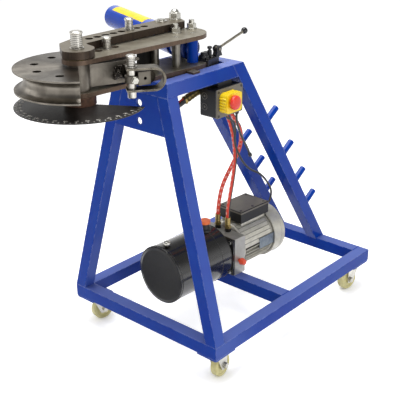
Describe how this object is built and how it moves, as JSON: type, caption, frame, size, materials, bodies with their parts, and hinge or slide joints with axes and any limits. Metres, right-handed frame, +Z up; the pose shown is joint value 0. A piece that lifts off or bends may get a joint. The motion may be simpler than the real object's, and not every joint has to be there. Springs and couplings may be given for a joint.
{
  "type": "hydraulic tube bender",
  "caption": "Hydraulic tube bender with a rotary die, swinging link, ram and power pack on a wheeled steel stand.",
  "frame": {"origin": "on the floor under the middle of the overall box", "axes": "+X from the bending head to the storage pegs, +Y to the ram's closed end, +Z up"},
  "size_m": [1.188, 0.812, 1.032],
  "materials": {
    "frame_paint": "gloss blue paint",
    "plate_steel": "oiled hot rolled steel",
    "die_steel": "turned steel",
    "disc_steel": "dark engraved steel",
    "collar_steel": "rusty brown steel",
    "zinc": "bright zinc plate",
    "wheel": "cream nylon",
    "black_steel": "black paint",
    "black_plastic": "black plastic",
    "lid": "dark grey plastic",
    "yellow": "yellow plastic",
    "red": "red plastic",
    "orange": "orange plastic",
    "aluminium": "cast aluminium",
    "brass": "yellow zinc plate",
    "hose": "black rubber with a red line",
    "cable": "black rubber"
  },
  "bodies": {
    "stand": {"base_frame": "frame_paint", "top_frame": "frame_paint", "front_legs": "frame_paint", "rear_legs": "frame_paint", "front_panel": "frame_paint", "storage_pegs": "frame_paint", "caster_plates": "frame_paint", "lower_plate": "plate_steel", "upper_plate": "plate_steel", "plate_spacers": "plate_steel", "lower_collar": "collar_steel", "plate_bolts": "zinc", "tank_breather": "zinc", "tank": "black_steel", "filler_neck": "black_steel", "valve_body": "black_steel", "valve_housing": "black_steel", "switch_box": "black_plastic", "terminal_box": "black_plastic", "lead_plug": "black_plastic", "switch_lid": "lid", "manifold_block": "aluminium", "motor_housing": "aluminium", "fan_cover": "aluminium", "thrust_washer": "brass", "hose_adaptors": "brass", "block_fittings": "brass", "hose_pressure": "hose", "hose_return": "hose", "hose_ram": "hose", "motor_cable": "cable", "switch_lead": "cable"},
    "link": {"drive_link": "plate_steel", "link_bolts": "zinc"},
    "drive_pin": {"drive_pin": "zinc"},
    "centre_pin": {"centre_pin": "zinc"},
    "lock_pin": {"lock_pin": "zinc"},
    "die": {"die": "die_steel", "strap_bolt": "zinc"},
    "disc": {"degree_disc": "disc_steel"},
    "strap_pin": {"strap_pin": "zinc"},
    "strap": {"strap": "plate_steel"},
    "rod": {"ram_rod": "frame_paint"},
    "barrel": {"ram_barrel": "frame_paint", "ram_head": "frame_paint"},
    "lever": {"valve_lever": "zinc", "lever_ball": "black_plastic"},
    "cover": {"switch_cover": "yellow"},
    "button": {"stop_button": "red"},
    "cap": {"filler_cap": "orange"},
    "knob": {"relief_knob": "orange"},
    "rotor": {"rotor": "zinc"},
    "fork_1": {"fork_1": "zinc"},
    "wheel_1": {"wheel_1": "wheel"},
    "fork_2": {"fork_2": "zinc"},
    "wheel_2": {"wheel_2": "wheel"},
    "fork_3": {"fork_3": "zinc"},
    "wheel_3": {"wheel_3": "wheel"},
    "fork_4": {"fork_4": "zinc"},
    "wheel_4": {"wheel_4": "wheel"}
  },
  "joints": [
    {"name": "link_swing", "type": "hinge", "parent": "stand", "child": "link", "pos_m": [-0.425, -0.10901, 0.978], "axis": [0, 0, 1], "range_deg": [0, 40]},
    {"name": "ram_swing", "type": "hinge", "parent": "stand", "child": "rod", "pos_m": [-0.022, -0.136, 0.917], "axis": [0, 0, 1], "range_deg": [0, 38]},
    {"name": "ram_slide", "type": "slide", "parent": "rod", "child": "barrel", "axis": [0.3514, 0.9362, 0], "range_m": [0, 0.28]},
    {"name": "die_turn", "type": "hinge", "parent": "stand", "child": "die", "pos_m": [-0.425, -0.10901, 0.917], "axis": [0, 0, 1], "range_deg": [-190, 0]},
    {"name": "disc_turn", "type": "hinge", "parent": "stand", "child": "disc", "pos_m": [-0.425, -0.10901, 0.844], "axis": [0, 0, 1], "range_deg": [-190, 0]},
    {"name": "strap_swing", "type": "hinge", "parent": "die", "child": "strap", "pos_m": [-0.35746, -0.23043, 0.917], "axis": [0, 0, 1], "range_deg": [-30, 18]},
    {"name": "strap_pin_lift", "type": "slide", "parent": "die", "child": "strap_pin", "axis": [0, 0, 1], "range_m": [0, 0.12]},
    {"name": "centre_pin_lift", "type": "slide", "parent": "stand", "child": "centre_pin", "axis": [0, 0, 1], "range_m": [0, 0.17]},
    {"name": "drive_pin_lift", "type": "slide", "parent": "link", "child": "drive_pin", "axis": [0, 0, 1], "range_m": [0, 0.03]},
    {"name": "lock_pin_lift", "type": "slide", "parent": "stand", "child": "lock_pin", "axis": [0, 0, 1], "range_m": [0, 0.02]},
    {"name": "valve_lever_tilt", "type": "hinge", "parent": "stand", "child": "lever", "pos_m": [0.066, -0.15401, 0.906], "axis": [0, -1, 0], "range_deg": [-15, 15], "stiffness_Nm_per_rad": 3},
    {"name": "switch_cover_flap", "type": "hinge", "parent": "stand", "child": "cover", "pos_m": [0.022, -0.23131, 0.801], "axis": [-1, 0, 0], "range_deg": [0, 90]},
    {"name": "stop_button_push", "type": "slide", "parent": "cover", "child": "button", "axis": [0, 1, 0], "range_m": [0, 0.005], "stiffness_N_per_m": 800},
    {"name": "filler_cap_turn", "type": "hinge", "parent": "stand", "child": "cap", "pos_m": [0.08866, -0.08311, 0.3225], "axis": [0, 0, 1], "continuous": true},
    {"name": "relief_knob_turn", "type": "hinge", "parent": "stand", "child": "knob", "pos_m": [0.16115, -0.17103, 0.1855], "axis": [-0.0523, -0.9986, 0], "continuous": true},
    {"name": "rotor_spin", "type": "hinge", "parent": "stand", "child": "rotor", "pos_m": [0.24386, -0.08324, 0.2025], "axis": [0.9986, -0.0523, 0], "continuous": true},
    {"name": "caster_1_swivel", "type": "hinge", "parent": "stand", "child": "fork_1", "pos_m": [-0.194, -0.36801, 0.088], "axis": [0, 0, 1], "continuous": true},
    {"name": "wheel_1_roll", "type": "hinge", "parent": "fork_1", "child": "wheel_1", "pos_m": [-0.17023, -0.36467, 0.0375], "axis": [-0.1392, 0.9903, 0], "continuous": true},
    {"name": "caster_2_swivel", "type": "hinge", "parent": "stand", "child": "fork_2", "pos_m": [-0.194, 0.14999, 0.088], "axis": [0, 0, 1], "continuous": true},
    {"name": "wheel_2_roll", "type": "hinge", "parent": "fork_2", "child": "wheel_2", "pos_m": [-0.17052, 0.145, 0.0375], "axis": [0.2079, 0.9781, 0], "continuous": true},
    {"name": "caster_3_swivel", "type": "hinge", "parent": "stand", "child": "fork_3", "pos_m": [0.55, -0.36801, 0.088], "axis": [0, 0, 1], "continuous": true},
    {"name": "wheel_3_roll", "type": "hinge", "parent": "fork_3", "child": "wheel_3", "pos_m": [0.52623, -0.36467, 0.0375], "axis": [-0.1392, -0.9903, 0], "continuous": true},
    {"name": "caster_4_swivel", "type": "hinge", "parent": "stand", "child": "fork_4", "pos_m": [0.55, 0.14999, 0.088], "axis": [0, 0, 1], "continuous": true},
    {"name": "wheel_4_roll", "type": "hinge", "parent": "fork_4", "child": "wheel_4", "pos_m": [0.52623, 0.14666, 0.0375], "axis": [0.1392, -0.9903, 0], "continuous": true}
  ],
  "couplings": [
    {"joint": "ram_swing", "follows": "link_swing", "ratio": 0.93928},
    {"joint": "ram_slide", "follows": "link_swing", "m_per_rad": 0.39518},
    {"joint": "disc_turn", "follows": "die_turn", "ratio": 1}
  ]
}
